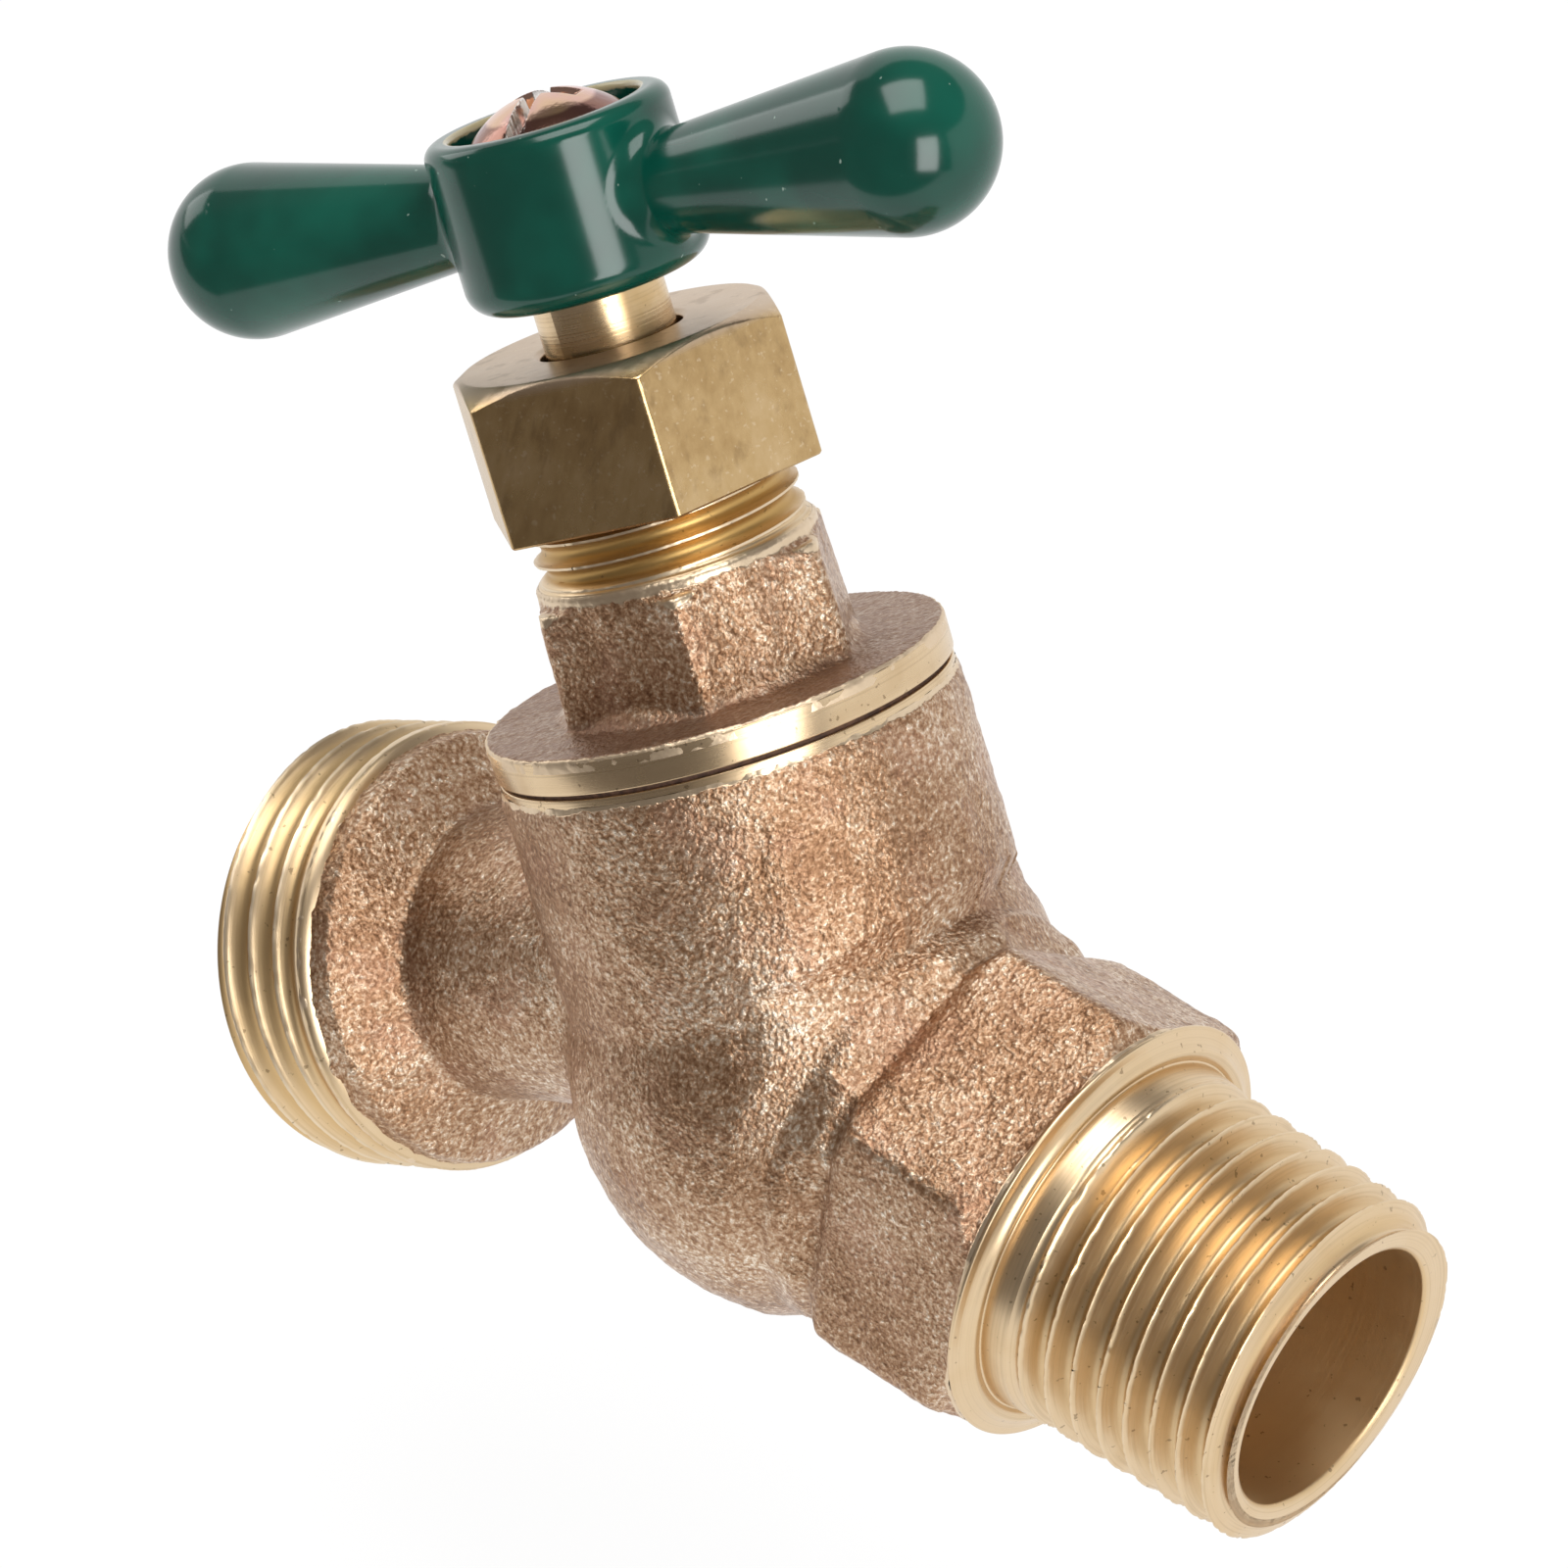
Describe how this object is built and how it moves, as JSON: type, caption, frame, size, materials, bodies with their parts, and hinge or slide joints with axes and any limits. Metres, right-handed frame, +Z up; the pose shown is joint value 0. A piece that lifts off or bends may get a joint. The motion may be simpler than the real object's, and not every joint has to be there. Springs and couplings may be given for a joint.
{
  "type": "hose bibb",
  "caption": "Cast bronze outdoor tap with a tapered pipe inlet, a hexagon, a downward hose spout and a leaning stem with an enamelled tee handle.",
  "frame": {"origin": "centre of the inlet's end face, on the inlet's axis", "axes": "+Y along the inlet's axis out of its end and into the wall, +Z up, +X to the right seen from in front of the tap"},
  "size_m": [0.03, 0.0892, 0.0855],
  "materials": {
    "cast_bronze": "sand cast, with machined threads and faces",
    "turned_brass": "turned and milled",
    "fibre": "pressed fibre sheet",
    "graphite_packing": "graphite cord packing",
    "black_rubber": "moulded rubber",
    "green_enamel": "glossy dark green enamel over a casting",
    "plated_steel": "yellow zinc plating"
  },
  "bodies": {
    "tap": {"valve_body": "cast_bronze", "bonnet": "cast_bronze", "bonnet_gasket": "fibre", "packing_washer": "turned_brass", "packing": "graphite_packing", "packing_gland": "turned_brass", "packing_nut": "turned_brass"},
    "rising_washer": {"seat_washer": "black_rubber"},
    "spindle": {"stem": "turned_brass", "washer_screw": "turned_brass", "handle": "green_enamel", "handle_screw": "plated_steel"}
  },
  "joints": [
    {"name": "stem_rise", "type": "slide", "parent": "tap", "child": "rising_washer", "axis": [0, -0.515, 0.8572], "range_m": [0, 0.00571]},
    {"name": "handle_turn", "type": "hinge", "parent": "rising_washer", "child": "spindle", "pos_m": [0, -0.03999, 0.00497], "axis": [0, -0.515, 0.8572], "range_deg": [0, 810]}
  ],
  "couplings": [
    {"joint": "handle_turn", "follows": "stem_rise", "rad_per_m": 2473.7}
  ]
}
